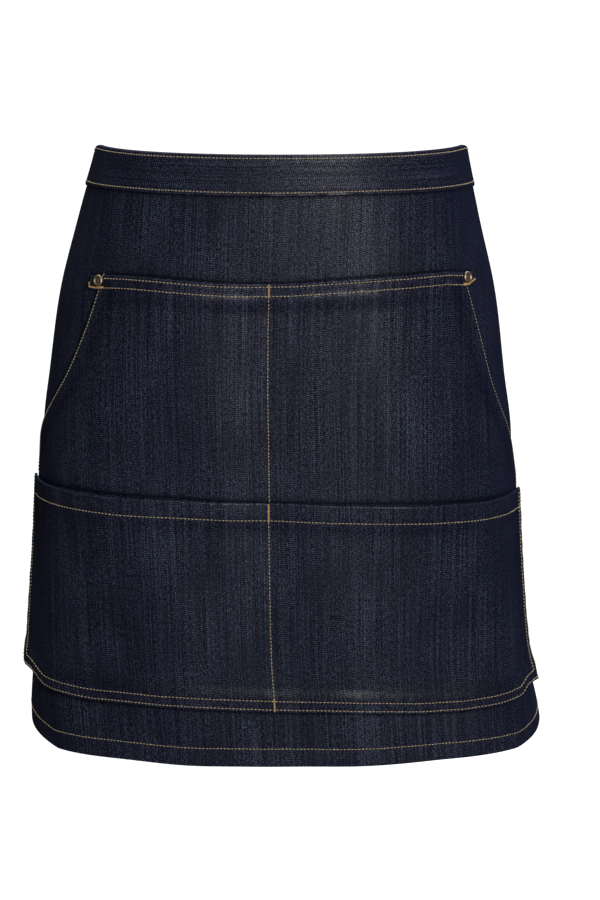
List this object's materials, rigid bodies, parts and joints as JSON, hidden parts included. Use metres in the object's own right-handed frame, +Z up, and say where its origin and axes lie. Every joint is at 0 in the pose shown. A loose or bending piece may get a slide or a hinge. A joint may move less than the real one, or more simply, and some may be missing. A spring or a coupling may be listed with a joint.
{
  "type": "waist apron",
  "caption": "Dark denim waist apron in its worn form, open behind, with stacked full-width patch pockets and corner rivets.",
  "frame": {"origin": "middle of the waist loop, level with the waistband's top edge in front", "axes": "+Z up the wearer's body, -Y the way the wearer faces, +X to the right of someone looking at the front"},
  "size_m": [0.4266, 0.2356, 0.4895],
  "materials": {
    "denim": "raw dark twill, unwashed, faint vertical streaks",
    "denim_band": "raw dark twill with its grain along the band",
    "rivet_brass": "aged satin brass",
    "thread": "twisted khaki topstitch thread"
  },
  "bodies": {
    "root": {"waistband": "denim_band", "back_tie": "denim_band", "main_panel": "denim", "upper_pocket": "denim", "lower_pocket": "denim", "rivet_left": "rivet_brass", "rivet_right": "rivet_brass"}
  },
  "joints": []
}
